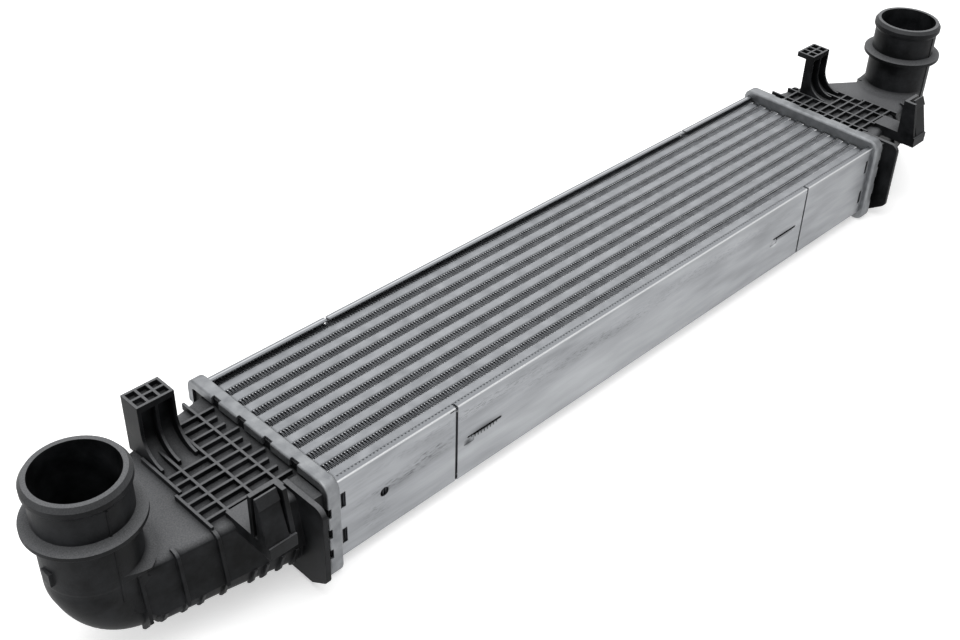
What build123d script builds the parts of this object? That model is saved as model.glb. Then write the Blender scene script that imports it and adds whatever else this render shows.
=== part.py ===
from build123d import *
from math import cos, radians, sin
import os

# Charge air cooler, in millimetres: a brazed aluminium core between two crimped-on plastic tanks.
# The core is drawn about its middle: X along the tubes, Y across the stack, Z up the core's depth,
# with Z = 0 at the upper noses of the tubes. Headers, gaskets and tanks are drawn with X = 0 at the
# header's face, and moved to the core's ends. The whole is moved to its own frame when it is written.

# Core
tube_count = 9
tube_pitch = 14.0
tube_thickness = 7.5
tube_depth = 58.0
tube_wall = 0.6
tube_overhang = 1.8
core_length = 605.2

# Fins and turbulators, drawn with one wave where the real strip has several
fin_sheet = 0.6
fin_wave = 30.0
turbulator_sheet = 0.5
turbulator_waves = 9

# Side plates, with places measured from the core's ends
plate_sheet = 1.0
plate_margin = 3.5
plate_fold = 4.0
slit_inset = 100.6
slit_width = 2.2
slit_hook_length = 6.0
window_width = 4.0
window_height = 12.3
window_spacing = 30.4
window_land = 2.6
lance_inset = 126.6
lance_length = 32.0
lance_height = 2.0
lance_tab_length = 9.0
lance_tab_height = 4.5
lance_tab_depth = 0.5
drain_inset = 37.6
drain_radius = 3.5

# Headers
header_margin = 5.35
header_over = 9.0
header_under = 12.5
header_corner = 8.0
header_sheet = 1.6
header_depth = 8.9
header_face_round = 2.2
header_tab_round = 1.4
trough_width = 9.4
trough_depth = 1.6
ferrule_height = 1.0
ferrule_width = 1.2
tab_reach = 6.0
tab_gap = 7.5
tabs_long = 5
tabs_short = 4

# Gasket and tank foot
gasket_thickness = 2.2
foot_clearance = 0.4
mouth_clearance = 1.2
mouth_run = 0.6

# Tank duct
tank_wall = 3.0
foot_step_top = 8.5
foot_step_bottom = 10.5
foot_step_side = 7.6
ledge_height = 23.0
ledge_inset = 2.0
ledge_rise = 15.0
wall_lean = 5.0
shoulder_x = 73.4
shoulder_inset = 15.0
duct_overlap = 4.0
duct_merge = 1.0
edge_round = 5.0
bottom_round = 12.0

# Elbows and spigots
spigot_x = 133.2
inlet_y = -16.6
outlet_y = -9.8
spigot_bore = 25.0
spigot_wall = 3.0
spigot_height = 66.2
elbow_wall = 3.5
barrel_blend = 0.15
elbow_rise = 9.5
bend_radius = 18.0
bend_core = 2.0
bend_steps = 4
square_share = 0.5
round_share = 0.999
lip_reach = 2.0
lip_height = 9.5
lip_chamfer = 3.0
ring_reach = 6.7
ring_height = 34.4
ring_thickness = 7.0
saddle_round = 7.0
nub_size = 4.0
nub_height = 9.0
nub_z = 9.0

# Rib grid on the tank's top
rib_height = 3.5
rib_width = 1.8
grid_rows = (23.9, 41.1, 59.9)
grid_edge_near = 70.9
grid_edge_far = 74.4
grid_step_y = -10.5
grid_front_insets = (17.0, 20.0, -5.5)
grid_back_insets = (8.0, 14.0, 18.0)
grid_end_inset = 12.0
grid_clip_inset = 21.0
cross_per_tab = 3
cross_start_long = 3.0
cross_start_short = 7.0

# Ribs on the tank's long walls, with the outer ones measured from the spigot's axis
wall_rib_width = 2.2
wall_rib_height = 2.5
wall_rib_wrap = 9.0
rib_end = 0.7
full_ribs_from_spigot = (33.8, 10.8)
nub_ribs_from_spigot = (44.3, 20.8)
short_rib_places = (27.9, 37.4, 47.9, 55.9)
short_rib_height = 1.2
rear_rib_places = (50.4, 74.4, 113.4)

# Flange plate, post and clip on each tank, with reaches measured from the tank's wall
flange_x = 18.6
flange_sheet = 3.6
flange_reach = 17.5
flange_top = 3.5
flange_slope_from = 13.5
flange_slope_to = 3.5
flange_slope_run = 15.0
flange_top_round = 7.0
flange_bottom_round = 5.0
shoulder_reach = 4.0
shoulder_top = 2.0
shoulder_depth = 20.0
post_outer = 68.9
post_inset_front = 33.7
post_inset_wall = 28.0
post_inset_back = 16.3
post_top = 41.5
post_wall = 2.4
post_cap = 4.5
post_sweep = 18.0
post_web_rise = 9.0
cap_columns = 3
cap_rows = 2
cap_floor = 1.2
clip_inner = 42.4
clip_outer = 61.9
clip_back_reach = 5.5
clip_front_reach = 20.0
clip_top = 35.0
clip_sheet = 3.0
clip_gap = 3.2
clip_lean = 8.0
clip_barb = 1.2
clip_chamfer = 6.0
clip_crown = 1.0
shelf_sheet = 9.0
shelf_inset = 22.0

# Worked out from the sizes above
fin_count = tube_count + 1
fin_height = tube_pitch - tube_thickness
stack_half = tube_pitch * fin_count / 2 - tube_thickness / 2
mid_z = -tube_depth / 2
core_half = core_length / 2
plate_height = tube_depth + 2 * plate_margin
header_half = stack_half + header_margin
header_bottom = -tube_depth - header_under
header_height = header_over - header_bottom
header_mid = (header_over + header_bottom) / 2
tab_pitch = 2 * stack_half / tabs_long
tab_pitch_short = (header_height - 2 * header_margin) / tabs_short
field_rear = trough_depth + header_sheet
tube_end = field_rear + tube_overhang
foot_face = header_sheet + gasket_thickness
tank_half = header_half - foot_step_side
tank_top = header_over - foot_step_top
tank_bottom = header_bottom + foot_step_bottom
tank_ledge = tank_bottom + ledge_height
spigot_radius = spigot_bore + spigot_wall
elbow_radius = spigot_bore + elbow_wall
elbow_bottom = tank_bottom + elbow_rise
bend_x = spigot_x - bend_radius
bend_z = elbow_bottom + bend_radius + elbow_radius
post_inner = grid_rows[1] + rib_width
post_front = tank_half - post_inset_front
post_back = tank_half - post_inset_back
part_reach = tank_half + max(flange_reach, clip_front_reach)
to_frame = Pos(0, (part_reach - header_half) / 2, -header_bottom)


def yz_slab(x_from, x_to, half_width, bottom, top, radius):
    """A rounded rectangle in the plane across the tubes, extruded along them."""
    outline = Pos(0, (bottom + top) / 2) * RectangleRounded(2 * half_width, top - bottom, radius)
    return extrude(Plane.YZ.offset(x_from) * outline, x_to - x_from)


def inset_slab(x_from, x_to, inset):
    """The header's outline, `inset` smaller all round, extruded along the tubes."""
    radius = max(header_corner - inset, 1.0)
    return yz_slab(x_from, x_to, header_half - inset, header_bottom + inset, header_over - inset, radius)


def inset_ring(x_from, x_to, inset, band):
    """A ring that follows the header's outline, `inset` inside it and `band` wide."""
    return inset_slab(x_from, x_to, inset) - inset_slab(x_from, x_to, inset + band)


def block(x_from, x_to, y_from, y_to, z_from, z_to):
    """A box between pairs of limits."""
    centre = Pos((x_from + x_to) / 2, (y_from + y_to) / 2, (z_from + z_to) / 2)
    return centre * Box(abs(x_to - x_from), abs(y_to - y_from), abs(z_to - z_from))


def tube_slot(thickness, depth):
    """The cross-section of a flat tube with full-round noses, in the plane across the tubes."""
    return Pos(0, mid_z) * RectangleRounded(thickness, depth, thickness / 2 - 0.01)


def tube(y_mid):
    """One flat tube, open at both ends."""
    reach = core_half + tube_end
    wall = tube_slot(tube_thickness, tube_depth)
    wall -= tube_slot(tube_thickness - 2 * tube_wall, tube_depth - 2 * tube_wall)
    return Pos(0, y_mid, 0) * extrude(Plane.YZ.offset(-reach) * wall, 2 * reach)


def zigzag(length, height, sheet, half_waves):
    """A folded strip as a flat outline: `length` along, `height` over its crests."""
    step = length / half_waves
    crest = height / 2
    upper = []
    lower = []
    for i in range(half_waves + 1):
        along = -length / 2 + i * step
        across = crest if i % 2 == 0 else sheet - crest
        upper.append((along, across))
        lower.append((along, across - sheet))
    return make_face(Polyline(*upper, *reversed(lower), close=True))


def fin(y_mid):
    """One folded fin strip, as deep as the tubes and as long as the gap between the headers."""
    half_waves = 2 * round(core_length / fin_wave)
    strip = zigzag(core_length, fin_height, fin_sheet, half_waves)
    return Pos(0, y_mid, -tube_depth) * extrude(strip, tube_depth)


def turbulator(y_mid):
    """The folded strip inside a tube, whose channels run along it."""
    reach = core_half + tube_end
    strip = zigzag(
        tube_depth - tube_thickness,
        tube_thickness - 2 * tube_wall,
        turbulator_sheet,
        2 * turbulator_waves,
    )
    across = Plane(origin=(-reach, y_mid, mid_z), x_dir=(0, 0, 1), z_dir=(1, 0, 0))
    return extrude(across * strip, 2 * reach)


def side_plate():
    """The folded channel outside the last fin, on the -Y side of the core."""
    outer = stack_half + plate_sheet
    fold_y = plate_sheet + plate_fold - outer
    top = mid_z + plate_height / 2
    bottom = mid_z - plate_height / 2
    plate = block(-core_half, core_half, -outer, fold_y, bottom, top)
    plate -= block(-core_half, core_half, -stack_half, fold_y, bottom + plate_sheet, top - plate_sheet)
    outer_folds = plate.edges().filter_by(Axis.X).group_by(Axis.Y)[0]
    plate = fillet(outer_folds, plate_sheet * 0.9)
    slit = block(-slit_width / 2, slit_width / 2, -outer, fold_y, bottom, top)
    slit -= block(-slit_width, slit_width, -stack_half, fold_y, bottom, bottom + plate_sheet)
    hook = block(-slit_hook_length, 0, -outer, -stack_half, top - 2 * plate_sheet, top - plate_sheet)
    window = Pos(0, -stack_half, 0) * Box(window_width, 2 * plate_sheet, window_height)
    lance = Pos(0, -stack_half, mid_z) * Box(lance_length, 2 * plate_sheet, lance_height)
    lance += block(
        -lance_length / 2 - lance_tab_length / 3, -lance_length / 2 + lance_tab_length * 2 / 3,
        -outer, lance_tab_depth - outer,
        mid_z - lance_height / 2 - lance_tab_height, mid_z - lance_height / 2,
    )
    drain = Rot(90, 0, 0) * Cylinder(drain_radius, 4 * plate_sheet)
    plate -= Pos(drain_inset - core_half, -stack_half, mid_z) * drain
    for side in (-1, 1):
        plate -= Pos(side * (core_half - slit_inset), 0, 0) * slit
        plate -= Pos(side * (core_half - lance_inset), 0, 0) * lance
        for half in (-1, 1):
            x_mid = side * (core_half - window_land - window_width / 2)
            plate -= Pos(x_mid, 0, mid_z + half * window_spacing / 2) * window
    return plate - Pos(slit_inset - core_half, 0, 0) * hook


def tab_gaps():
    """The spaces between the crimp tabs, as cutters round the header's rear edge."""
    gaps = []
    reach = tab_reach + header_sheet
    depth = header_sheet * 2
    x_mid = header_depth + header_sheet / 2
    for i in range(tabs_long - 1):
        y_mid = (i - (tabs_long - 2) / 2) * tab_pitch
        gaps.append(Pos(x_mid, y_mid, header_mid) * Box(depth, tab_gap, header_height + 2 * reach))
    for i in range(tabs_short - 1):
        z_mid = header_mid + (i - (tabs_short - 2) / 2) * tab_pitch_short
        gaps.append(Pos(x_mid, 0, z_mid) * Box(depth, 2 * (header_half + reach), tab_gap))
    return gaps


def header():
    """The pressed tube plate, with its gasket trough, rounded rim and crimp tabs."""
    tab_face = header_depth + header_sheet
    field_inset = trough_width - header_sheet
    tray = inset_ring(0, header_depth, 0, header_sheet)
    tray += inset_ring(0, header_sheet, 0, trough_width)
    tray += inset_ring(0, field_rear, field_inset, header_sheet)
    tray += inset_slab(trough_depth, field_rear, field_inset)
    tabs = inset_ring(header_depth, tab_face, 0, tab_reach)
    for gap in tab_gaps():
        tabs -= gap
        tray -= gap
    tray += tabs
    rounded = inset_slab(0, tab_face, 0)
    rounded = fillet(rounded.edges().group_by(Axis.X)[0], header_face_round)
    rounded = fillet(rounded.edges().group_by(Axis.X)[-1], header_tab_round)
    tray &= rounded
    collar = tube_slot(tube_thickness + 2 * ferrule_width, tube_depth + 2 * ferrule_width)
    hole = tube_slot(tube_thickness, tube_depth)
    for i in range(tube_count):
        y_mid = (i - (tube_count - 1) / 2) * tube_pitch
        face = Plane.YZ.offset(trough_depth - ferrule_height)
        tray += Pos(0, y_mid, 0) * extrude(face * collar, ferrule_height)
    for i in range(tube_count):
        y_mid = (i - (tube_count - 1) / 2) * tube_pitch
        tray -= Pos(0, y_mid, 0) * extrude(Plane.YZ * hole, header_depth)
    return tray


def gasket():
    """The rubber ring in the header's trough."""
    inset = header_sheet + foot_clearance
    return inset_ring(header_sheet, foot_face, inset, trough_width - 2 * inset)


def duct_section(x, y_low, y_high, z_low, z_high, lean_low, lean_high, radius_low, radius_high):
    """A duct cross-section whose long walls lean, with its lower and upper corners rounded."""
    outline = make_face(
        Polyline(
            (y_low + lean_low, z_low),
            (y_high - lean_low, z_low),
            (y_high - lean_high, z_high),
            (y_low + lean_high, z_high),
            close=True,
        )
    )
    if radius_low:
        outline = fillet(outline.vertices().group_by(Axis.Y)[0], radius_low)
    if radius_high:
        outline = fillet(outline.vertices().group_by(Axis.Y)[-1], radius_high)
    return Plane.YZ.offset(x) * outline


def duct_stations(spigot_y):
    """Where the duct is measured: place, lowest and highest Y at the ledge, and its bottom."""
    low = spigot_y - elbow_radius - duct_overlap
    high = spigot_y + elbow_radius + duct_merge
    share = (shoulder_x - header_depth) / (bend_x - header_depth)
    shoulder_low = -tank_half + share * (low + tank_half)
    shoulder_bottom = tank_bottom + share * (elbow_bottom - tank_bottom)
    return (
        (foot_face, -tank_half, tank_half, tank_bottom),
        (header_depth, -tank_half, tank_half, tank_bottom),
        (shoulder_x, shoulder_low, tank_half - shoulder_inset, shoulder_bottom),
        (bend_x, low, high, elbow_bottom),
    )


def duct_at(x, spigot_y):
    """The duct's lowest and highest Y and its bottom at any place between its stations."""
    stations = duct_stations(spigot_y)
    for start, end in zip(stations, stations[1:]):
        if x <= end[0] or end is stations[-1]:
            share = (x - start[0]) / (end[0] - start[0])
            return [start[i] + share * (end[i] - start[i]) for i in (1, 2, 3)]


def duct_outside(spigot_y):
    """The outer skin of the duct from the foot to the elbow, and its top on to the spigot's axis."""
    upper = []
    lower = []
    for x, y_low, y_high, bottom in duct_stations(spigot_y):
        lean = wall_lean if x < bend_x else wall_lean / 5
        upper.append(duct_section(x, y_low, y_high, tank_ledge, tank_top, 0, wall_lean, 0, edge_round))
        lower.append(
            duct_section(
                x, y_low + ledge_inset, y_high - ledge_inset, bottom, tank_ledge,
                lean, 0, bottom_round, 0,
            )
        )
    last = duct_section(
        spigot_x, spigot_y - elbow_radius + duct_merge, spigot_y + elbow_radius - duct_merge,
        tank_ledge + ledge_rise, tank_top, 0, 1.0, 0, edge_round,
    )
    return loft(upper, ruled=True) + loft([upper[-1], last], ruled=True) + loft(lower, ruled=True)


def duct_inside(spigot_y):
    """The air space from the foot to the elbow."""
    inset = tank_wall + ledge_inset
    mouth_half = stack_half - fin_height + mouth_clearance
    mouth_low = -tube_depth - mouth_clearance
    throat_half = tank_half - inset - wall_lean
    throat = [
        duct_section(x, -mouth_half, mouth_half, mouth_low, mouth_clearance, 0, 0, 0, 0)
        for x in (foot_face, tube_end + mouth_run)
    ]
    throat.append(
        duct_section(
            header_depth, -throat_half, throat_half, tank_bottom + tank_wall, tank_top - tank_wall,
            0, 0, 0, 0,
        )
    )
    rooms = []
    for x, y_low, y_high, bottom in duct_stations(spigot_y)[1:]:
        lean = wall_lean if x < bend_x else wall_lean / 5
        rooms.append(
            duct_section(
                x, y_low + inset, y_high - inset, bottom + tank_wall, tank_top - tank_wall,
                lean, lean, bottom_round - tank_wall, 0,
            )
        )
    return loft(throat, ruled=True) + loft(rooms, ruled=True)


def elbow(half_width, reach, spigot_y, top):
    """The bend from the duct up to the spigot: sections that turn from square to round."""
    sections = []
    for i in range(bend_steps + 1):
        share = i / bend_steps
        angle = radians(90 * share)
        corner = half_width * (square_share + (round_share - square_share) * share)
        outline = make_face(
            Polyline(
                (-half_width, bend_core), (half_width, bend_core),
                (half_width, reach), (-half_width, reach), close=True,
            )
        )
        outline = fillet(outline.vertices().group_by(Axis.Y)[-1], corner)
        across = Plane(
            origin=(bend_x, spigot_y, bend_z), x_dir=(0, 1, 0), z_dir=(-cos(angle), 0, -sin(angle))
        )
        sections.append(across * outline)
    riser = extrude(sections[-1], bend_z - top)
    return loft(sections) + riser


def turned(profile, spigot_y):
    """A flat profile of radius and height, turned about the spigot's axis."""
    return Pos(spigot_x, spigot_y, 0) * revolve(Plane.XZ * make_face(profile), Axis.Z)


def spigot(spigot_y):
    """The hose spigot with its rolled lip and its stop ring, solid."""
    lip_radius = spigot_radius + lip_reach
    ring_radius = spigot_radius + ring_reach
    lip_bottom = spigot_height - lip_height
    ring_low = ring_height - ring_thickness / 2
    ring_high = ring_height + ring_thickness / 2
    ring_crown = ring_radius - ring_thickness / 4
    ring_edge = ring_thickness / 5
    profile = Polyline(
        (0, -tank_wall),
        (elbow_radius - barrel_blend, -tank_wall),
        (elbow_radius + barrel_blend, 0),
        (elbow_radius + barrel_blend, ring_low),
        (ring_crown, ring_low + ring_edge),
        (ring_radius, ring_height - ring_edge),
        (ring_radius, ring_height + ring_edge),
        (ring_crown, ring_high - ring_edge),
        (spigot_radius, ring_high),
        (spigot_radius, lip_bottom),
        (lip_radius, lip_bottom + lip_chamfer),
        (lip_radius, spigot_height - lip_chamfer),
        (spigot_radius, spigot_height),
        (0, spigot_height),
        close=True,
    )
    return turned(profile, spigot_y)


def saddle(spigot_y):
    """The hollow round where the spigot grows out of the duct's top."""
    inner = spigot_radius - 1.0
    top = tank_top + saddle_round
    foot = spigot_radius + saddle_round
    sunk = tank_top - 1.0
    profile = [
        Line((inner, sunk), (foot, sunk)),
        Line((foot, sunk), (foot, tank_top)),
        RadiusArc((foot, tank_top), (spigot_radius, top), saddle_round),
        Line((spigot_radius, top), (inner, top)),
        Line((inner, top), (inner, sunk)),
    ]
    behind = spigot_x - 2 * foot
    far_half = elbow_radius + duct_overlap
    plan = Polyline(
        (spigot_x, spigot_y - elbow_radius), (behind, spigot_y - far_half),
        (behind, spigot_y + far_half), (spigot_x, spigot_y + elbow_radius), close=True,
    )
    return turned(profile, spigot_y) & extrude(Plane.XY.offset(sunk) * make_face(plan), 2 * saddle_round)


def top_grid():
    """The ribs on the tank's top, as long ribs and the cross ribs between them."""
    rib_top = tank_top + rib_height
    sunk = tank_top - tank_wall / 2
    half = rib_width / 2
    cross_pitch = tab_pitch / cross_per_tab
    ribs = []
    for x, front, back in zip(grid_rows, grid_front_insets, grid_back_insets):
        ribs.append(block(x - half, x + half, front - tank_half, tank_half - back, sunk, rib_top))
    ribs.append(block(grid_edge_near - half, grid_edge_near + half, grid_step_y, post_front, sunk, rib_top))
    edge_front = grid_front_insets[0] - tank_half
    ribs.append(block(grid_edge_far - half, grid_edge_far + half, edge_front, grid_step_y, sunk, rib_top))
    count = 2 * int((tank_half - grid_end_inset) / cross_pitch)
    for i in range(count):
        y = (i - (count - 1) / 2) * cross_pitch
        reaches_tab = (i - count // 2) % cross_per_tab == 1
        start_x = header_depth + (cross_start_long if reaches_tab else cross_start_short)
        row_ends = [(start_x, grid_rows[0]), (grid_rows[0], grid_rows[1])]
        if y < post_front - post_sweep:
            row_ends.append((grid_rows[1], grid_rows[2]))
            row_ends.append((grid_rows[2], grid_edge_near if y > grid_step_y else grid_edge_far))
        for start, end in row_ends:
            if y > grid_clip_inset - tank_half or end <= grid_rows[1]:
                ribs.append(block(start, end, y - half, y + half, sunk, rib_top))
    return ribs


def wall_rib(x, height, side, full, spigot_y):
    """One upright rib that follows the duct's wall on the -Y (side -1) or +Y side, and under its corner."""
    y_low, y_high, bottom = duct_at(x, spigot_y)
    x_from = x - wall_rib_width / 2
    out_low = height if side < 0 else 0
    out_high = height if side > 0 else 0
    rib = extrude(
        duct_section(
            x_from, y_low + ledge_inset - out_low, y_high - ledge_inset + out_high,
            bottom - rib_end, tank_ledge, wall_lean + height - rib_end, 0, bottom_round, 0,
        ),
        wall_rib_width,
    )
    if full:
        rib += extrude(
            duct_section(
                x_from, y_low - out_low, y_high + out_high, tank_ledge, tank_top + height / 2,
                0, wall_lean, 0, edge_round,
            ),
            wall_rib_width,
        )
    wall_y = y_low if side < 0 else y_high
    return rib & block(
        x_from, x_from + wall_rib_width, wall_y + side * 2 * height, wall_y - side * wall_rib_wrap,
        bottom - height, tank_top + height,
    )


def wall_ribs(spigot_y):
    """The ribs of both long walls: full ones, short ones under the ledge, and full ones behind."""
    ribs = [wall_rib(grid_edge_far, wall_rib_height, -1, True, spigot_y)]
    for gap in full_ribs_from_spigot:
        ribs.append(wall_rib(spigot_x - gap, wall_rib_height, -1, True, spigot_y))
    for gap in nub_ribs_from_spigot:
        ribs.append(wall_rib(spigot_x - gap, wall_rib_height, -1, False, spigot_y))
    for x in short_rib_places:
        ribs.append(wall_rib(x, short_rib_height + ledge_inset, -1, False, spigot_y))
    for x in rear_rib_places:
        ribs.append(wall_rib(x, wall_rib_height, 1, True, spigot_y))
    return ribs


def flange_plate():
    """The upright plate that stands out of the tank's -Y side beside the header, with its shoulder."""
    inner = shoulder_depth - tank_half
    outer = -tank_half - flange_reach
    outline = make_face(
        Polyline(
            (inner, flange_top),
            (outer, flange_top),
            (outer, header_bottom + flange_slope_from),
            (outer + flange_slope_run, header_bottom + flange_slope_to),
            (inner, header_bottom + flange_slope_to),
            close=True,
        )
    )
    corners = outline.vertices().group_by(Axis.X)[0].sort_by(Axis.Y)
    outline = fillet(corners[-1], flange_top_round)
    corners = outline.vertices().group_by(Axis.X)[0].sort_by(Axis.Y)
    outline = fillet(corners[0], flange_bottom_round)
    plate = extrude(Plane.YZ.offset(flange_x) * outline, flange_sheet)
    return plate + block(
        header_depth + header_sheet + foot_clearance, flange_x + flange_sheet,
        -tank_half - shoulder_reach, inner, shoulder_top - shoulder_depth, shoulder_top,
    )


def post():
    """The L-shaped post with its ribbed cap, whose front ribs and web sweep down into the grid."""
    foot = tank_top - tank_wall / 2
    cap_low = post_top - post_cap
    web_y = tank_half - post_inset_wall
    grid_top = tank_top + rib_height
    sweep_front = post_front - post_sweep
    stem = block(post_inner, post_outer, web_y, web_y + post_wall, foot, cap_low)
    stem += block(post_outer - post_wall, post_outer, post_front, post_back, foot, cap_low)
    rib = make_face(
        [
            Polyline(
                (post_front, grid_top + post_sweep), (post_front, cap_low), (web_y, cap_low),
                (web_y, foot), (sweep_front, foot), (sweep_front, grid_top),
            ),
            RadiusArc((sweep_front, grid_top), (post_front, grid_top + post_sweep), -post_sweep),
        ]
    )
    web_front = web_y - post_sweep
    web = make_face(
        [
            Polyline((web_y, tank_top + post_sweep), (web_y, foot), (web_front, foot), (web_front, tank_top)),
            RadiusArc((web_front, tank_top), (web_y, tank_top + post_sweep), -post_sweep),
        ]
    )
    stem += extrude(Plane.YZ.offset(post_inner) * web, post_outer - post_inner)
    middle = (post_inner + post_outer) / 2
    for x in (post_inner, middle - rib_width / 2, post_outer - rib_width):
        stem += extrude(Plane.YZ.offset(x) * rib, rib_width)
    cap = block(post_inner, post_outer, post_front, post_back, cap_low, post_top)
    cell_x = (post_outer - post_inner - (cap_columns + 1) * rib_width) / cap_columns
    cell_y = (post_back - post_front - (cap_rows + 1) * rib_width) / cap_rows
    for i in range(cap_columns):
        for j in range(cap_rows):
            x = post_inner + rib_width + i * (cell_x + rib_width)
            y = post_front + rib_width + j * (cell_y + rib_width)
            cap -= block(x, x + cell_x, y, y + cell_y, cap_low + cap_floor, post_top)
    return stem + cap


def clip():
    """The spring clip on its shelf: a back wall, a side wall and a barbed tongue between them."""
    shelf_top = tank_top + rib_height
    shelf_low = shelf_top - shelf_sheet
    front = -tank_half - clip_front_reach
    back = -tank_half - clip_back_reach
    top_front = front + clip_lean
    shelf = block(clip_inner, clip_outer, front, shelf_inset - tank_half, shelf_low, shelf_top)
    wall = block(clip_inner, clip_outer, back, back + clip_sheet, shelf_low, clip_top)
    cheek_outline = make_face(
        Polyline(
            (back + clip_sheet, shelf_low),
            (front, shelf_low),
            (top_front - clip_barb, clip_top),
            (back + clip_sheet, clip_top),
            close=True,
        )
    )
    cheek = extrude(Plane.YZ.offset(clip_inner) * cheek_outline, clip_sheet)
    tongue_back = back - clip_gap
    tongue_outline = make_face(
        Polyline(
            (tongue_back, shelf_low),
            (front, shelf_low),
            (front, shelf_top - shelf_sheet / 2),
            (top_front, clip_top - clip_chamfer),
            (top_front - clip_barb, clip_top - clip_chamfer),
            (tongue_back - clip_barb, clip_top + clip_crown),
            (tongue_back, clip_top + clip_crown),
            close=True,
        )
    )
    tongue_from = clip_inner + clip_sheet + clip_gap / 2
    tongue = extrude(Plane.YZ.offset(tongue_from) * tongue_outline, clip_outer - tongue_from)
    return shelf + wall + cheek + tongue


def tank(spigot_y):
    """The plastic tank, moulded in one with its elbow, spigot, ribs, post and clip."""
    body = inset_slab(foot_face, header_depth, header_sheet + foot_clearance)
    body += duct_outside(spigot_y)
    body += elbow(elbow_radius, bend_radius + elbow_radius, spigot_y, tank_top)
    body += spigot(spigot_y)
    body += saddle(spigot_y)
    nub = Box(nub_size, nub_size * 2, nub_height)
    body += Pos(spigot_x + spigot_radius, spigot_y - nub_size, nub_z) * nub
    body += wall_ribs(spigot_y)
    body += flange_plate()
    body += clip()
    body -= duct_inside(spigot_y)
    bore_low = tank_top - tank_wall
    bend_half = spigot_bore + bend_core / 2
    bend_air = elbow(spigot_bore, bend_radius + spigot_bore, spigot_y, tank_top)
    bend_air += block(
        bend_x - 2 * bend_core, bend_x + 2 * bend_core, spigot_y - bend_half, spigot_y + bend_half,
        bend_z - 2 * bend_core, bore_low + bend_core / 5,
    )
    body -= bend_air
    bore = Cylinder(spigot_bore, spigot_height - bore_low)
    body -= Pos(spigot_x, spigot_y, (spigot_height + bore_low) / 2) * bore
    body += post()
    return body + top_grid()


def build():
    """Every piece by its node's name."""
    pieces = {}
    for i in range(tube_count):
        pieces[f"tube_{i + 1}"] = tube((i - (tube_count - 1) / 2) * tube_pitch)
        pieces[f"turbulator_{i + 1}"] = turbulator((i - (tube_count - 1) / 2) * tube_pitch)
    for i in range(fin_count):
        pieces[f"fin_{i + 1}"] = fin((i - (fin_count - 1) / 2) * tube_pitch)
    plate = side_plate()
    pieces["front_side_plate"] = plate
    pieces["rear_side_plate"] = mirror(plate, about=Plane.XZ)
    at_end = Pos(core_half, 0, 0)
    tube_plate = header()
    seal = gasket()
    ends = {
        "header": (tube_plate, tube_plate),
        "gasket": (seal, seal),
        "tank": (tank(inlet_y), tank(outlet_y)),
    }
    for name, (inlet_piece, outlet_piece) in ends.items():
        pieces[f"inlet_{name}"] = mirror(at_end * inlet_piece, about=Plane.YZ)
        pieces[f"outlet_{name}"] = at_end * outlet_piece
    return pieces


os.makedirs("parts", exist_ok=True)
for node, piece in build().items():
    export_step(to_frame * piece, f"parts/{node}.step")
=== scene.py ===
# %% [markdown]
# # A charge air cooler, dressed for a studio picture
# The object is a long brazed aluminium core, flat tubes with folded fins between them, held between two
# moulded plastic tanks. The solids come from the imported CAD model. This notebook gives them their
# finishes, and makes the fine work that a plain solid leaves out.

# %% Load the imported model
import bpy
import math
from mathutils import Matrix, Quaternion, Vector


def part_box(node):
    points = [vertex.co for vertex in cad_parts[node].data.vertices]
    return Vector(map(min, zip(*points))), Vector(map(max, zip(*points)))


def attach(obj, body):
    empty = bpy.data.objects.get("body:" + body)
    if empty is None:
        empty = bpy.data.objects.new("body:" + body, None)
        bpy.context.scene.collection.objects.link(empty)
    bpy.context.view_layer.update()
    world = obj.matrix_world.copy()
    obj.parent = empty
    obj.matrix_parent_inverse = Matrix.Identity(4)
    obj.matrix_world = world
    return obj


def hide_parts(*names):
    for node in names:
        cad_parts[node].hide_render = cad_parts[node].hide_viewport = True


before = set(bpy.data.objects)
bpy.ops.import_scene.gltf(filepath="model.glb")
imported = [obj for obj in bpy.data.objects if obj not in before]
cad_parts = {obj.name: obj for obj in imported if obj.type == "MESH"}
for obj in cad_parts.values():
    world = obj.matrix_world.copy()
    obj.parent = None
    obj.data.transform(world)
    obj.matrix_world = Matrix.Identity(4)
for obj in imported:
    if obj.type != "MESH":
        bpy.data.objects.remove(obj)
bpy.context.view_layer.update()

# %% [markdown]
# Sizes are written in millimetres, as a drawing gives them, while Blender works in metres. The middle
# tube is the part's own reference: its upper nose is the height that everything on the core is
# measured from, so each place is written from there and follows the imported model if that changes.

# %% Places and sizes
MM = 0.001
TUBE_COUNT = 9
middle_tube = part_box(f"tube_{TUBE_COUNT // 2 + 1}")
core_y = (middle_tube[0].y + middle_tube[1].y) / 2
core_top = middle_tube[1].z
fin_low, fin_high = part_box("fin_1")


def place(x, y, z):
    """A point in millimetres from the core's middle, at the tubes' upper noses."""
    return Vector((x * MM, core_y + y * MM, core_top + z * MM))


print("tubes' upper noses at", round(core_top, 4), "fins", [round(v, 4) for v in fin_high - fin_low])

# %% [markdown]
# ## Camera
# The picture is taken from beyond the inlet tank and above it, looking along the core with a normal
# lens. The camera stands at a place, looks at a point on the core's top and is rolled a little. A
# small shift of the lens frames the part without turning the camera.

# %% Camera
CAMERA_PLACE = place(-652.6, -527.0, 557.6)
CAMERA_TARGET = place(-85.5, -17.3, 0.0)
CAMERA_ROLL = math.radians(3.0)
CAMERA_LENS = 49.13
CAMERA_SHIFT = (-0.0477, -0.0151)

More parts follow.
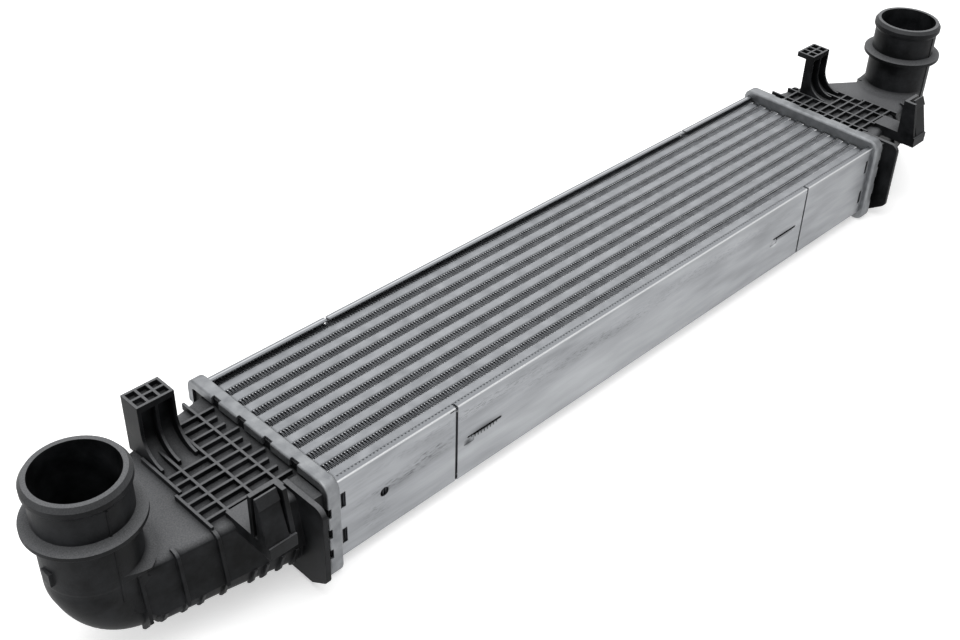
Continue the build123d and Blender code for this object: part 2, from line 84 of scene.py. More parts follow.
camera_data = bpy.data.cameras.new("camera")
camera_data.lens = CAMERA_LENS
camera_data.shift_x, camera_data.shift_y = CAMERA_SHIFT
camera_data.clip_start = 0.01
camera = bpy.data.objects.new("camera", camera_data)
bpy.context.scene.collection.objects.link(camera)
camera.location = CAMERA_PLACE
looking = (CAMERA_TARGET - CAMERA_PLACE).to_track_quat("-Z", "Y")
camera.rotation_mode = "QUATERNION"
camera.rotation_quaternion = looking @ Quaternion((0, 0, 1), CAMERA_ROLL)
bpy.context.scene.camera = camera
bpy.context.scene.view_settings.view_transform = "Standard"
print("camera looks from", [round(v, 3) for v in camera.location])

# %% [markdown]
# ## Building materials from nodes
# Every finish below is a small tree of shader nodes. One function adds a node, sets it up and links
# it, so that a material reads as a list of steps. Colours are written as the sRGB hex values that a
# painter would pick, and turned to the linear values that Blender works with.

# %% Helpers for materials
NOISE_SPAN = (0.3, 0.7)
EDGE_SAMPLES = 4


def linear(hex_colour):
    """An sRGB hex colour as linear RGBA."""
    channels = [int(hex_colour[i:i + 2], 16) / 255 for i in (1, 3, 5)]
    return [c / 12.92 if c <= 0.04045 else ((c + 0.055) / 1.055) ** 2.4 for c in channels] + [1.0]


def add(tree, kind, settings=None, inputs=None, **links):
    """Adds one node. Settings are its own options, inputs its sockets' values, links its sockets' sources."""
    node = tree.nodes.new(kind)
    for name, value in (settings or {}).items():
        setattr(node, name, value)
    for name, value in (inputs or {}).items():
        node.inputs[name].default_value = value
    for name, source in links.items():
        socket = node.inputs[int(name[1:])] if name[1:].isdigit() else node.inputs[name.replace("_", " ")]
        tree.links.new(source, socket)
    return node


def new_material(name):
    """An empty material with its output node and a surface shader, ready for more nodes."""
    material = bpy.data.materials.new(name)
    material.use_nodes = True
    tree = material.node_tree
    tree.nodes.clear()
    shader = add(tree, "ShaderNodeBsdfPrincipled")
    add(tree, "ShaderNodeOutputMaterial", Surface=shader.outputs["BSDF"])
    return material, tree, shader


def stretched(tree, x_mm, y_mm, z_mm):
    """Object coordinates in which a pattern's unit is that many millimetres along each axis."""
    where = add(tree, "ShaderNodeTexCoord")
    scale = (1000 / x_mm, 1000 / y_mm, 1000 / z_mm)
    return add(tree, "ShaderNodeMapping", inputs={"Scale": scale}, Vector=where.outputs["Object"]).outputs[0]


def noise(tree, size_mm, detail=2.0, rough=0.5):
    """Noise whose grains are about that size, one number or one for each axis."""
    sizes = size_mm if isinstance(size_mm, tuple) else (size_mm,) * 3
    vector = stretched(tree, *sizes)
    values = {"Scale": 1.0, "Detail": detail, "Roughness": rough}
    return add(tree, "ShaderNodeTexNoise", inputs=values, Vector=vector).outputs["Fac"]


def ramp(tree, source, stops):
    """Maps 0 to 1 through (position, hex colour or number) stops."""
    node = add(tree, "ShaderNodeValToRGB", Fac=source)
    points = node.color_ramp.elements
    while len(points) < len(stops):
        points.new(1.0)
    for point, (position, value) in zip(points, stops):
        point.position = position
        point.color = linear(value) if isinstance(value, str) else (value, value, value, 1.0)
    return node.outputs["Color"]


def bump(tree, source, height_mm, edge_mm=0.0):
    """A surface relief of that height, on edges that are rounded to that radius for the light only."""
    relief = add(tree, "ShaderNodeBump", inputs={"Distance": height_mm * MM, "Strength": 1.0}, Height=source)
    if edge_mm:
        edge = add(tree, "ShaderNodeBevel", {"samples": EDGE_SAMPLES}, {"Radius": edge_mm * MM})
        tree.links.new(edge.outputs[0], relief.inputs["Normal"])
    return relief.outputs["Normal"]


def patch(tree, centre, reach_mm):
    """1 at a point on the part, fading to 0 at that reach along each axis, in millimetres."""
    where = add(tree, "ShaderNodeTexCoord").outputs["Object"]
    offset = add(tree, "ShaderNodeVectorMath", {"operation": "SUBTRACT"}, {1: centre}, _0=where).outputs[0]
    scale = tuple(1000 / reach for reach in reach_mm)
    unit = add(tree, "ShaderNodeVectorMath", {"operation": "MULTIPLY"}, {1: scale}, _0=offset).outputs[0]
    far = add(tree, "ShaderNodeVectorMath", {"operation": "LENGTH"}, _0=unit).outputs["Value"]
    settings = {"interpolation_type": "SMOOTHSTEP"}
    inputs = {"From Min": 0.0, "From Max": 1.0, "To Min": 1.0, "To Max": 0.0}
    return add(tree, "ShaderNodeMapRange", settings, inputs, Value=far).outputs[0]


def mixed(tree, share, first, second):
    """Two colours, sockets or hex, mixed by a share that a pattern gives."""
    node = add(tree, "ShaderNodeMix", {"data_type": "RGBA"}, Factor=share)
    colour_inputs = [socket for socket in node.inputs if socket.type == "RGBA"]
    for socket, value in zip(colour_inputs, (first, second)):
        if isinstance(value, str):
            socket.default_value = linear(value)
        else:
            tree.links.new(value, socket)
    return [socket for socket in node.outputs if socket.type == "RGBA"][0]


def math_node(tree, operation, first, second=0.0):
    """One arithmetic step on numbers or sockets."""
    node = add(tree, "ShaderNodeMath", {"operation": operation})
    for socket, value in zip(node.inputs, (first, second)):
        if isinstance(value, (int, float)):
            socket.default_value = value
        else:
            tree.links.new(value, socket)
    return node.outputs[0]


def around(tree, source, middle, spread):
    """Turns the middle part of a noise into a value that varies by that spread about its middle."""
    low, high = NOISE_SPAN
    inputs = {"From Min": low, "From Max": high, "To Min": middle - spread, "To Max": middle + spread}
    return add(tree, "ShaderNodeMapRange", inputs=inputs, Value=source).outputs[0]


def object_axis(tree, axis):
    """One of the object's own coordinates, in metres."""
    where = add(tree, "ShaderNodeTexCoord").outputs["Object"]
    return add(tree, "ShaderNodeSeparateXYZ", Vector=where).outputs[axis]


def facing_up(tree):
    """1 on faces that look up, 0 on walls."""
    normal = add(tree, "ShaderNodeNewGeometry").outputs["Normal"]
    upward = add(tree, "ShaderNodeSeparateXYZ", Vector=normal).outputs["Z"]
    return ramp(tree, upward, [(0.35, 0.0), (1.0, 1.0)])


def new_piece(name, mesh, material=None):
    """Puts a mesh in the scene as an object at the origin."""
    if material:
        mesh.materials.append(material)
    piece = bpy.data.objects.new(name, mesh)
    bpy.context.scene.collection.objects.link(piece)
    return piece


print("helpers ready")

# %% [markdown]
# ## Aluminium, in five finishes
# All the metal is aluminium, yet each piece catches the light in its own way. The side plates
# are rolled sheet, whose rollers leave fine lines along the core. The tubes are brazed in a furnace,
# which leaves a dull, slightly speckled skin. The headers are pressed, so their skin is stretched and
# mottled. The fins and the folded strips inside the tubes are thin, and dark because light is lost
# between their folds.

# %% Metal finishes
METAL_SPREAD = 0.06


def aluminium(name, light, dark, roughness, grain_mm, relief_mm, mottle_mm=40.0, edge_mm=0.0, marks=()):
    """Aluminium with a fine grain of that size and slow mottling. Marks are (pattern, hex colour) pairs."""
    material, tree, shader = new_material(name)
    grain = noise(tree, grain_mm, 3.0, 0.6)
    mottle = noise(tree, mottle_mm, 2.0)
    both = add(tree, "ShaderNodeMath", {"operation": "MULTIPLY_ADD"}, {1: 0.5}, _0=grain, _2=mottle)
    colour = ramp(tree, both.outputs[0], [(0.45, dark), (1.0, light)])
    for pattern, stain in marks:
        colour = mixed(tree, pattern(tree), colour, stain)
    tree.links.new(colour, shader.inputs["Base Color"])
    tree.links.new(around(tree, grain, roughness, METAL_SPREAD), shader.inputs["Roughness"])
    tree.links.new(bump(tree, grain, relief_mm, edge_mm), shader.inputs["Normal"])
    shader.inputs["Metallic"].default_value = 1.0
    return material


# %% [markdown]
# The side plates carry the marks of their making and some painted light and shade, and the tubes a dark
# ring of painted shade at each end, where they enter the header. All of it is drawn in colour only, each
# mark in a patch with a middle and a reach. So the scratches, the painted shade and dark dots of the lanced
# slots, the painted highlights along the folds and the dark dashes of painted shade along the front fold
# belong to the colour and not to the mesh.

# %% Marks on the metal
PLATE_FACE_Y = -67.25
PLATE_MIDDLE_Z, PLATE_TOP_Z, FOLD_WIDTH = -29.0, 3.5, 5.0
DRAIN_X, LANCE_X, SLIT_X = -265.0, 176.0, 202.0
MARK_DEPTH, ALL_LENGTH = 8, 4000
SCRATCH_MM = (6.0, 0.9, 0.9)
TOOTH_PITCH = 2.9


def speckled(centre, reach_mm, amount):
    """A trail of short dark scratches along the sheet, inside a patch."""
    def pattern(tree):
        specks = ramp(tree, noise(tree, SCRATCH_MM, 4.0, 0.65), [(0.52, 0.0), (0.60, 1.0)])
        inside = math_node(tree, "MULTIPLY", patch(tree, centre, reach_mm), amount)
        return math_node(tree, "MULTIPLY", specks, inside)
    return pattern


def shaded(centre, reach_mm, amount):
    """A soft patch of another colour."""
    def pattern(tree):
        return math_node(tree, "MULTIPLY", patch(tree, centre, reach_mm), amount)
    return pattern


def along_edge(y, z, reach_mm, amount):
    """A thin line along the core, round the edge at that place."""
    return shaded(place(0, y, z), (ALL_LENGTH, reach_mm, reach_mm), amount)


def dotted_shade(centre, reach_mm):
    """A row of dark dots of painted shade along an edge, inside a patch."""
    def pattern(tree):
        turns = math_node(tree, "MULTIPLY", object_axis(tree, "X"), 2 * math.pi / (TOOTH_PITCH * MM))
        turn = math_node(tree, "SINE", turns)
        shade_dots = ramp(tree, turn, [(0.1, 0.0), (0.4, 1.0)])
        inside = ramp(tree, patch(tree, centre, reach_mm), [(0.1, 0.0), (0.3, 1.0)])
        return math_node(tree, "MULTIPLY", shade_dots, inside)
    return pattern


def spot(x, z, reach_x, reach_z):
    """A middle and a reach on the front plate's face, its height counted from the plate's middle line."""
    return place(x, PLATE_FACE_Y, PLATE_MIDDLE_Z + z), (reach_x, MARK_DEPTH, reach_z)


plate_marks = [
    # darker upper faces, and a painted highlight along each fold
    (facing_up, "#6E7073"),
    (along_edge(PLATE_FACE_Y, PLATE_TOP_Z, 1.3, 0.9), "#E8E9EA"),
    (along_edge(-PLATE_FACE_Y - FOLD_WIDTH / 2, PLATE_TOP_Z, 1.0, 0.55), "#C8CACC"),
    # the lanced slots: dark dots and a band of painted shade in each slot, painted shade on the near dimple,
    # then dark dashes of painted shade along the front fold
    (dotted_shade(*spot(-LANCE_X, -1.4, 18, 3.2)), "#161718"),
    (dotted_shade(*spot(LANCE_X, -1.4, 18, 2.6)), "#161718"),
    (shaded(*spot(-LANCE_X, -0.2, 19, 2.8), 1.0), "#1A1B1C"),
    (shaded(*spot(-LANCE_X - 15, -4, 5.5, 4), 1.0), "#2E3033"),
    (dotted_shade(place(0, PLATE_FACE_Y + FOLD_WIDTH - 0.6, PLATE_TOP_Z), (2400, 0.8, 4)), "#3A3C3F"),
    # a painted highlight on a dimple beside the far slot
    (shaded(*spot(LANCE_X - 13, -6, 7, 3), 0.6), "#CDCFD1"),
    # scratches, most of them round the drain hole and the near slit
    (speckled(*spot(DRAIN_X + 14, 3, 52, 7), 0.9), "#46484B"),
    (speckled(*spot(DRAIN_X - 8, -14, 16, 14), 0.7), "#55575A"),
    (speckled(*spot(-SLIT_X - 22, 8, 34, 8), 0.8), "#46484B"),
    (speckled(*spot(-SLIT_X + 20, 22, 150, 7), 0.6), "#606265"),
    (speckled(*spot(-60, 12, 120, 8), 0.7), "#5C5E61"),
    (speckled(*spot(90, 18, 160, 10), 0.5), "#6A6C6F"),
    # a painted reflection as a slightly paler area low on the plate, and the painted soft shade above the
    # slots
    (shaded(*spot(-70, -16, 230, 30), 0.3), "#C4C6C8"),
    (shaded(*spot(-LANCE_X, 1.5, 20, 4.5), 0.6), "#4A4C4F"),
    (shaded(*spot(LANCE_X, 1.5, 20, 4.5), 0.5), "#5C5E61"),
]
# a dark ring of painted shade on each tube end, where it enters the header
TUBE_SWAGE_X, RING_REACH = 299.5, 3.5
painted_shade_rings = [
    (shaded(place(side * TUBE_SWAGE_X, 0, 0), (RING_REACH, ALL_LENGTH, ALL_LENGTH), 0.85), "#3A3C3E")
    for side in (-1, 1)
]
print("marks on the plates", len(plate_marks))

# %% Metals of the plates, tubes, headers and turbulators
# Rolled sheet: lines 0.9 mm apart, coarser than real ones so that they show, which fade after 25 mm.
rolled_sheet = aluminium(
    "aluminium_rolled_sheet", "#9EA0A3", "#7C7E81", 0.38, (25.0, 0.9, 0.9), 0.02, (60.0, 12.0, 12.0),
    edge_mm=0.8, marks=plate_marks,
)
# Brazed tube: short grains from the flux and the furnace, a dull even grey.
brazed_tube = aluminium(
    "aluminium_brazed_tube", "#888A8D", "#727477", 0.48, (5.0, 0.8, 0.8), 0.02, 12.0, 0.5, painted_shade_rings,
)
# Pressed header: stretched skin, matte and mottled, with blurred highlights on its rim.
pressed_header = aluminium("aluminium_pressed_header", "#8C8E90", "#6C6E71", 0.5, 0.8, 0.03, 9.0, 0.7)
# Folded strip inside the tubes, in the dark.
turbulator_strip = aluminium("aluminium_turbulator_strip", "#9C9EA1", "#7A7C7F", 0.45, (4.0, 1.0, 1.0), 0.01)
print("metals", [m.name for m in bpy.data.materials if m.name.startswith("aluminium")])

# %% [markdown]
# The fins are foil, and the light dies between them. Only their cut edges, at the top and the bottom
# of the core, shine, most of all where a crest is brazed to a tube. So the foil's colour paints that light,
# following two things: the height, lighter within about a millimetre of an edge and painted shade from
# there on, and the place between two tubes, with a painted highlight at each crest.

# %% Fin foil
FIN_EDGE_MM = 1.1
FIN_RECESS_MM = 0.9
TUBE_PITCH_MM = 14.0
CREST_MM = (2.7, 3.0)
FIN_PATCH_MM = 6.0
FIN_ROUGHNESS = 0.45


def fin_foil(name, crest_highlight_colour, edge, depth, low_z, high_z):
    """Foil with a painted highlight at its brazed crests, duller on its edges and painted shade in its depth.
    """
    material, tree, shader = new_material(name)
    middle = (low_z + high_z) / 2
    away = math_node(tree, "ABSOLUTE", math_node(tree, "SUBTRACT", object_axis(tree, "Z"), middle))
    half = (high_z - low_z) / 2
    near_edge = {"From Min": half - FIN_EDGE_MM * MM, "From Max": half}
    lit = add(tree, "ShaderNodeMapRange", inputs=near_edge, Value=away).outputs[0]
    patches = ramp(tree, noise(tree, FIN_PATCH_MM, 3.0), [(0.35, 0.55), (0.65, 1.0)])
    uneven = math_node(tree, "MULTIPLY", lit, patches)
    across = math_node(tree, "SUBTRACT", object_axis(tree, "Y"), core_y)
    in_pitch = math_node(tree, "DIVIDE", across, TUBE_PITCH_MM * MM)
    side = math_node(tree, "SUBTRACT", math_node(tree, "FRACT", in_pitch), 0.5)
    off_centre = math_node(tree, "MULTIPLY", math_node(tree, "ABSOLUTE", side), TUBE_PITCH_MM)
    at_crest = {"From Min": CREST_MM[0], "From Max": CREST_MM[1]}
    crest = add(tree, "ShaderNodeMapRange", inputs=at_crest, Value=off_centre).outputs[0]
    # painted shade in the depth, lighter near the edges, then a painted highlight where a crest meets a tube
    foil = mixed(tree, uneven, depth, edge)
    brazed = mixed(tree, math_node(tree, "MULTIPLY", crest, lit), foil, crest_highlight_colour)
    tree.links.new(brazed, shader.inputs["Base Color"])
    shader.inputs["Metallic"].default_value = 1.0
    shader.inputs["Roughness"].default_value = FIN_ROUGHNESS
    return material


fin_top = min(fin_high.z, core_top - FIN_RECESS_MM * MM)
fin_foot = max(fin_low.z, middle_tube[0].z + FIN_RECESS_MM * MM)
fin_strip = fin_foil("aluminium_fin_foil", "#F2F3F4", "#77797C", "#38393C", fin_foot, fin_top)
print("fins from", round(fin_foot, 4), "to", round(fin_top, 4))

# %% [markdown]
# ## Plastic and rubber
# The tanks are glass-filled nylon, moulded in a steel tool with a fine matte surface. It is near
# black, and what the eye sees is mostly a broad, soft reflection of the room. A grey that is partly dust
# and partly a painted sheen lies on the faces that look up. It thins out between the ribs, where an ambient
# occlusion node finds little open air, which leaves painted shade in the recesses. The gasket is plain black
# rubber, which hides between the header and the tank's foot.

# %% Plastic and rubber
OPEN_MM = 12.0
OPEN_SAMPLES = 4
CLOUD_MM = 26.0
PLASTIC_SPREAD = 0.07
MOULDED_EDGE_MM = 0.7


def moulded(name, light, dark, dust_and_sheen, roughness, gloss, grain_mm, relief_mm):
    """A dark moulded material with a fine grain, a cloudy sheen, and dust with a painted sheen on its upper
    faces, thinned to painted shade in recesses.
    """
    material, tree, shader = new_material(name)
    grain = noise(tree, grain_mm, 3.0, 0.65)
    cloud = noise(tree, CLOUD_MM, 5.0, 0.6)
    colour = ramp(tree, cloud, [(0.4, dark), (0.66, light)])
    open_air = add(
        tree, "ShaderNodeAmbientOcclusion", {"samples": OPEN_SAMPLES}, {"Distance": OPEN_MM * MM},
    ).outputs["AO"]
    # grey on upward faces is partly dust and partly painted sheen, and the ambient occlusion leaves painted
    # shade in recesses
    dust_and_sheen_share = math_node(tree, "MULTIPLY", facing_up(tree), math_node(tree, "POWER", open_air, 2.0))
    dust = math_node(tree, "MULTIPLY", dust_and_sheen_share, ramp(tree, grain, [(0.3, 0.55), (0.7, 1.0)]))
    colour = mixed(tree, dust, colour, dust_and_sheen)
    shader.inputs["Specular IOR Level"].default_value = gloss
    tree.links.new(colour, shader.inputs["Base Color"])
    tree.links.new(around(tree, cloud, roughness, PLASTIC_SPREAD), shader.inputs["Roughness"])
    tree.links.new(bump(tree, grain, relief_mm, MOULDED_EDGE_MM), shader.inputs["Normal"])
    return material


# Glass-filled nylon: near black, broad dull sheen, fine grain where the fibres meet the tool.
glass_filled_nylon = moulded(
    "nylon_glass_filled_moulded", "#252628", "#0C0D0E", "#77787A", 0.46, 0.08, 0.8, 0.07,
)
# Gasket rubber: flatter and blacker, no sheen to speak of.
gasket_rubber = moulded("rubber_moulded_gasket", "#1B1B1C", "#141415", "#1E1E1F", 0.7, 0.2, 0.5, 0.01)
print("plastics ready")

# %% [markdown]
# ## Dressing the solids
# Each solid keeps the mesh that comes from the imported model, and only gets its finish. The start of a
# node's name says what the piece is, so one table serves all of them. The fins and the tubes are in it
# too, though finer pieces take their places further down.

# %% Give each CAD node its finish
finishes = {
    "tube_": brazed_tube,
    "turbulator_": turbulator_strip,
    "fin_": fin_strip,
    "front_side": rolled_sheet,
    "rear_side": rolled_sheet,
    "inlet_header": pressed_header,
    "outlet_header": pressed_header,
    "inlet_gasket": gasket_rubber,
    "outlet_gasket": gasket_rubber,
    "inlet_tank": glass_filled_nylon,
    "outlet_tank": glass_filled_nylon,
}
for name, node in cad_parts.items():
    for start, material in finishes.items():
        if name.startswith(start):
            node.data.materials.clear()
            node.data.materials.append(material)
print("nodes dressed", len(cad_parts))

# %% [markdown]
# ## The fins
# A fin is one long strip of foil, folded into a wave and pushed between two tubes. The real wave is
# only a few millimetres long, so there are thousands of folds. Geometry Nodes suit such a rule: a
# line of points, moved to the wave's height by one formula, drawn out to the core's depth and given
# the foil's thickness. A clipped cosine gives steep legs and the flat crests that are brazed on. The
# wave is drawn 2.4 mm long. Measured on the picture it came nearer to 3.8 mm, but that looked too coarse.

# %% The fin tree
FIN_WAVE_MM = 2.4
FIN_STEPS = 12
FIN_SHEET_MM = 0.2
FIN_STEEPNESS = 5.0
MERGE_WITHIN = 0.00001


def group_input(tree, name, kind, value):
    """Adds a named input to a node group and returns its identifier."""
    socket = tree.interface.new_socket(name, in_out="INPUT", socket_type=kind)
    if value is not None:
        socket.default_value = value
    return socket.identifier


def new_tree(name):
    """An empty geometry tree with its two ends, and no geometry input but the named ones."""
    tree = bpy.data.node_groups.new(name, "GeometryNodeTree")
    tree.interface.new_socket("Geometry", in_out="INPUT", socket_type="NodeSocketGeometry")
    tree.interface.new_socket("Geometry", in_out="OUTPUT", socket_type="NodeSocketGeometry")
    return tree


fin_tree = new_tree("folded_fin")
fin_inputs = {
    "Length": group_input(fin_tree, "Length", "NodeSocketFloat", 0.6),
    "Height": group_input(fin_tree, "Height", "NodeSocketFloat", 0.0065),
    "Depth": group_input(fin_tree, "Depth", "NodeSocketFloat", 0.058),
    "Waves": group_input(fin_tree, "Waves", "NodeSocketInt", 160),
    "Sheet": group_input(fin_tree, "Sheet", "NodeSocketFloat", FIN_SHEET_MM * MM),
    "Start": group_input(fin_tree, "Start", "NodeSocketVector", (0.0, 0.0, 0.0)),
    "Material": group_input(fin_tree, "Material", "NodeSocketMaterial", None),
}
entry = add(fin_tree, "NodeGroupInput").outputs
count = math_node(fin_tree, "ADD", math_node(fin_tree, "MULTIPLY", entry["Waves"], float(FIN_STEPS)), 1.0)
line = add(fin_tree, "GeometryNodeMeshLine", Count=count)
index = add(fin_tree, "GeometryNodeInputIndex").outputs[0]
share = math_node(fin_tree, "DIVIDE", index, math_node(fin_tree, "SUBTRACT", count, 1.0))
along = math_node(fin_tree, "MULTIPLY", share, entry["Length"])
angle = math_node(fin_tree, "MULTIPLY", index, 2 * math.pi / FIN_STEPS)
wave = math_node(fin_tree, "MULTIPLY", math_node(fin_tree, "COSINE", angle), FIN_STEEPNESS)
flat = math_node(fin_tree, "MAXIMUM", math_node(fin_tree, "MINIMUM", wave, 1.0), -1.0)
half = math_node(fin_tree, "MULTIPLY", math_node(fin_tree, "SUBTRACT", entry["Height"], entry["Sheet"]), 0.5)
across = math_node(fin_tree, "MULTIPLY", flat, half)
point = add(fin_tree, "ShaderNodeCombineXYZ", X=along, Y=across).outputs[0]
point = add(fin_tree, "ShaderNodeVectorMath", _0=point, _1=entry["Start"]).outputs[0]
folded = add(fin_tree, "GeometryNodeSetPosition", Geometry=line.outputs["Mesh"], Position=point).outputs[0]
drop = math_node(fin_tree, "MULTIPLY", entry["Depth"], -1.0)
down = add(fin_tree, "ShaderNodeCombineXYZ", Z=drop).outputs[0]
web = add(fin_tree, "GeometryNodeExtrudeMesh", {"mode": "EDGES"}, Mesh=folded, Offset=down).outputs["Mesh"]
skin = add(
    fin_tree, "GeometryNodeExtrudeMesh", {"mode": "FACES"}, {"Individual": False},
    Mesh=web, Offset_Scale=entry["Sheet"],
).outputs["Mesh"]
back = add(fin_tree, "GeometryNodeFlipFaces", Mesh=web).outputs[0]
joined = add(fin_tree, "GeometryNodeJoinGeometry")
fin_tree.links.new(skin, joined.inputs[0])
fin_tree.links.new(back, joined.inputs[0])
merged = add(
    fin_tree, "GeometryNodeMergeByDistance", inputs={"Distance": MERGE_WITHIN}, Geometry=joined.outputs[0]
)
solid = add(fin_tree, "GeometryNodeRealizeInstances", Geometry=merged.outputs[0]).outputs[0]
painted = add(fin_tree, "GeometryNodeSetMaterial", Geometry=solid, Material=entry["Material"]).outputs[0]
add(fin_tree, "NodeGroupOutput", Geometry=painted)
print("fin tree has", len(fin_tree.nodes), "nodes")

# %% Grow a fin between each two tubes


def grown(name, tree, inputs, values):
    """Runs a geometry tree once and returns its result as a plain mesh object at the origin."""
    seed = bpy.data.objects.new(name + "_seed", bpy.data.meshes.new(name + "_seed"))
    bpy.context.scene.collection.objects.link(seed)
    modifier = seed.modifiers.new("grow", "NODES")
    modifier.node_group = tree
    for label, value in values.items():
        modifier[inputs[label]] = value
    bpy.context.view_layer.update()
    evaluated = seed.evaluated_get(bpy.context.evaluated_depsgraph_get())
    mesh = bpy.data.meshes.new_from_object(evaluated)
    bpy.data.objects.remove(seed)
    return new_piece(name, mesh)


for number in range(1, TUBE_COUNT + 2):
    low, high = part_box(f"fin_{number}")
    length = high.x - low.x
    strip = grown(f"folded_fin_{number}", fin_tree, fin_inputs, {
        "Length": length,
        "Height": high.y - low.y,
        "Depth": fin_top - fin_foot,
        "Waves": round(length / (FIN_WAVE_MM * MM)),
        "Start": (low.x, (low.y + high.y) / 2, fin_top),
        "Material": fin_strip,
    })
    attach(strip, "root")
    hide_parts(f"fin_{number}")
print("fins", TUBE_COUNT + 1, "faces each", len(strip.data.polygons))

# %% [markdown]
# ## The tubes
# Each tube is a flat one, extruded with a nearly flat nose and small corners, and its ends are swaged
# round where they enter the header. A ring of points gives its section, one for each place along the
# tube where the section changes, and the rings are joined to a wall with an inside and an outside.
# Where an end is fully round, two corners share a point at the nose, so a few faces there have no area.
# Merging the doubles would take them out. It isn't done here.

# %% Flat tubes
TUBE_WALL_MM = 0.6
NOSE_CORNER_MM = 1.3
SWAGE_MM = (7.0, 11.0)
CORNER_POINTS = 5


def tube_section(half_y, half_z, corner):
    """A rounded rectangle's points in Y and Z, turning from +Y to +Z."""
    points = []
    for quarter in range(4):
        side_y = 1 if quarter in (0, 3) else -1
        side_z = 1 if quarter in (0, 1) else -1
        for step in range(CORNER_POINTS):
            turn = math.radians(90 * quarter + 90 * step / (CORNER_POINTS - 1))
            y = side_y * (half_y - corner) + corner * math.cos(turn)
            z = side_z * (half_z - corner) + corner * math.sin(turn)
            points.append((y, z))
    return points


def flat_tube(name, low, high):
    """A tube between two corners of its box, open at both ends."""
    half_y, half_z = (high.y - low.y) / 2, (high.z - low.z) / 2
    middle = (low + high) / 2
    swage_end, swage_start = (length * MM for length in SWAGE_MM)
    stations = [
        (low.x, half_y), (low.x + swage_end, half_y), (low.x + swage_start, NOSE_CORNER_MM * MM),
        (high.x - swage_start, NOSE_CORNER_MM * MM), (high.x - swage_end, half_y), (high.x, half_y),
    ]
    points, faces = [], []
    ring = 4 * CORNER_POINTS
    for wall in (0.0, TUBE_WALL_MM * MM):
        for x, corner in stations:
            section = tube_section(half_y - wall, half_z - wall, corner - wall)
            points += [(x, middle.y + y, middle.z + z) for y, z in section]
    inside = ring * len(stations)
    for station in range(len(stations) - 1):
        for i in range(ring):
            a, b = station * ring + i, station * ring + (i + 1) % ring
            faces.append((a, b, b + ring, a + ring))
            faces.append((inside + a + ring, inside + b + ring, inside + b, inside + a))
    last = ring * (len(stations) - 1)
    for i in range(ring):
        j = (i + 1) % ring
        faces.append((i, inside + i, inside + j, j))
        faces.append((last + j, inside + last + j, inside + last + i, last + i))
    mesh = bpy.data.meshes.new(name)
    mesh.from_pydata(points, [], faces)
    return new_piece(name, mesh, brazed_tube)


for number in range(1, TUBE_COUNT + 1):
    tube = flat_tube(f"flat_tube_{number}", *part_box(f"tube_{number}"))
    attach(tube, "root")
    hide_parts(f"tube_{number}")
print("tubes", TUBE_COUNT, "faces each", len(tube.data.polygons))

# %% [markdown]
# ## Parting lines
# A moulding tool closes in halves, and each spigot shows where they meet: a thin upright rib on either
# side. The rib is a slim bar, round outside, which sinks into the spigot's wall. It comes in a lower
# and an upper length, because the barrel is a little thinner above.

# %% Parting lines on the spigots
BARREL_X = 435.8
BARREL_Y = {"inlet": -16.6, "outlet": -9.8}
PARTING_SPANS = {"lower": (28.65, -14.0, 30.0), "upper": (28.0, 35.5, 56.0)}
PARTING_HALF, PARTING_PROUD = 0.7, 0.6
RIB_STEPS, RIB_SUNK = 6, 1.5


def upright_rib(name, x, y, half, proud, low, high, side):
    """A slim bar along Z at a place, its rounded face towards +Y or -Y."""
    steps = [math.radians(180 * step / RIB_STEPS) for step in range(RIB_STEPS + 1)]
    section = [(half * math.cos(turn), side * proud * math.sin(turn)) for turn in steps]
    section += [(-half, -side * RIB_SUNK), (half, -side * RIB_SUNK)]
    ring = len(section)
    points = [place(x + dx, y + dy, z) for z in (low, high) for dx, dy in section]
    faces = [(i, (i + 1) % ring, ring + (i + 1) % ring, ring + i) for i in range(ring)]
    faces += [tuple(range(ring))[::-1], tuple(range(ring, 2 * ring))]
    if side < 0:
        faces = [face[::-1] for face in faces]
    mesh = bpy.data.meshes.new(name)
    mesh.from_pydata(points, [], faces)
    return new_piece(name, mesh, glass_filled_nylon)


for end, sign in (("inlet", -1), ("outlet", 1)):
    for side, hand in ((-1, "front"), (1, "rear")):
        for span, (radius, low, high) in PARTING_SPANS.items():
            rib = upright_rib(
                f"{end}_parting_line_{hand}_{span}", sign * BARREL_X, BARREL_Y[end] + side * radius,
                PARTING_HALF, PARTING_PROUD, low, high, side,
            )
            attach(rib, "root")
print("parting lines at", BARREL_Y)

# %% [markdown]
# ## Floor, room and lamps
# A pale floor carries the part's soft shadow, and the room around it is plain white to the camera
# and to reflections. The lamps are three big soft boxes at a plain level, one above, one behind the
# far end and a weak one beyond the near end.

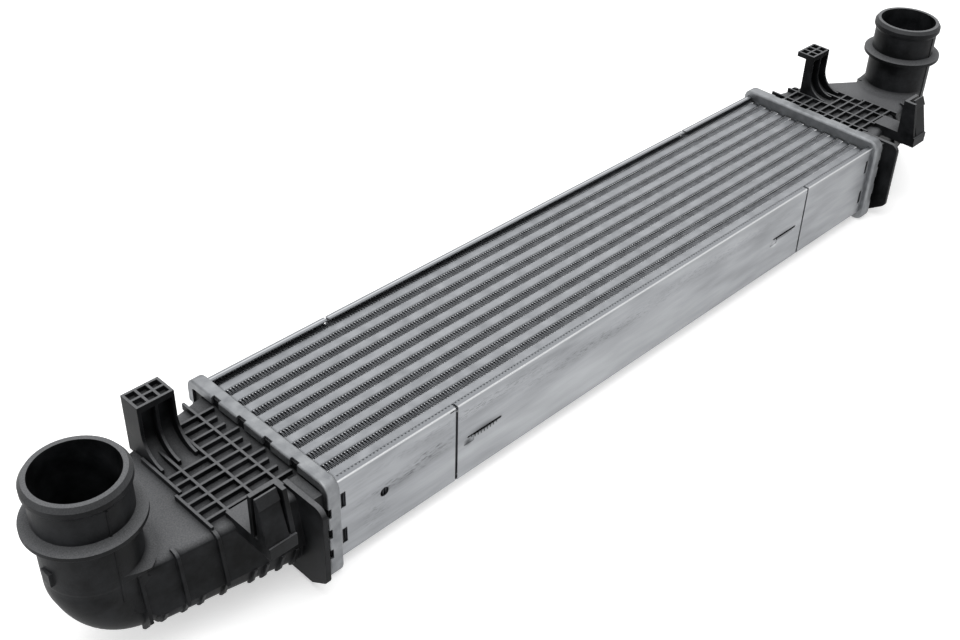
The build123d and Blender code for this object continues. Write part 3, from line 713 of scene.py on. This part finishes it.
# %% Studio
FLOOR_HALF = 6.0
FLOOR_DROP = 0.0005
FLOOR_GLOW = 0.5
floor_mesh = bpy.data.meshes.new("studio_floor")
corners = [(-FLOOR_HALF, -FLOOR_HALF, 0), (FLOOR_HALF, -FLOOR_HALF, 0), (FLOOR_HALF, FLOOR_HALF, 0),
           (-FLOOR_HALF, FLOOR_HALF, 0)]
floor_mesh.from_pydata(corners, [], [(0, 1, 2, 3)])
floor = new_piece("studio_floor", floor_mesh)
floor.location.z = -FLOOR_DROP


def seen_directly(tree):
    """1 for the camera, for mirrors and through glass, 0 for light that falls on things."""
    path = add(tree, "ShaderNodeLightPath").outputs
    either = math_node(tree, "MAXIMUM", path["Is Camera Ray"], path["Is Glossy Ray"])
    return math_node(tree, "MAXIMUM", either, path["Is Transmission Ray"])


floor_material, floor_tree, floor_shader = new_material("studio_paper_white")
floor_shader.inputs["Base Color"].default_value = linear("#F4F4F4")
floor_shader.inputs["Roughness"].default_value = 0.9
floor_shader.inputs["Specular IOR Level"].default_value = 0.0
floor_shader.inputs["Emission Color"].default_value = linear("#FFFFFF")
glow = math_node(floor_tree, "MULTIPLY", seen_directly(floor_tree), FLOOR_GLOW)
floor_tree.links.new(glow, floor_shader.inputs["Emission Strength"])
floor.data.materials.append(floor_material)

ROOM_LEVEL = 0.42
world = bpy.data.worlds.new("studio_room")
bpy.context.scene.world = world
world.use_nodes = True
room = world.node_tree
room.nodes.clear()
level = math_node(room, "MAXIMUM", seen_directly(room), ROOM_LEVEL)
sky = add(room, "ShaderNodeBackground", inputs={"Color": linear("#FFFFFF")}, Strength=level)
add(room, "ShaderNodeOutputWorld", Surface=sky.outputs[0])


def soft_box(name, location, target, width, height, watts):
    """A rectangular lamp at a place, turned to a point."""
    data = bpy.data.lights.new(name, "AREA")
    data.shape = "RECTANGLE"
    data.size, data.size_y = width, height
    data.energy = watts
    lamp = bpy.data.objects.new(name, data)
    bpy.context.scene.collection.objects.link(lamp)
    lamp.location = location
    lamp.rotation_euler = (target - location).to_track_quat("-Z", "Y").to_euler()
    return lamp


soft_box("lamp_behind", place(700, 800, 1000), place(0, 0, 0), 1.8, 1.2, 9)
soft_box("lamp_left", place(-1700, 100, 600), place(0, 0, 0), 1.2, 1.2, 4)
soft_box("lamp_above", place(-400, -300, 1600), place(0, 0, 0), 1.6, 1.2, 15)
print("studio ready")
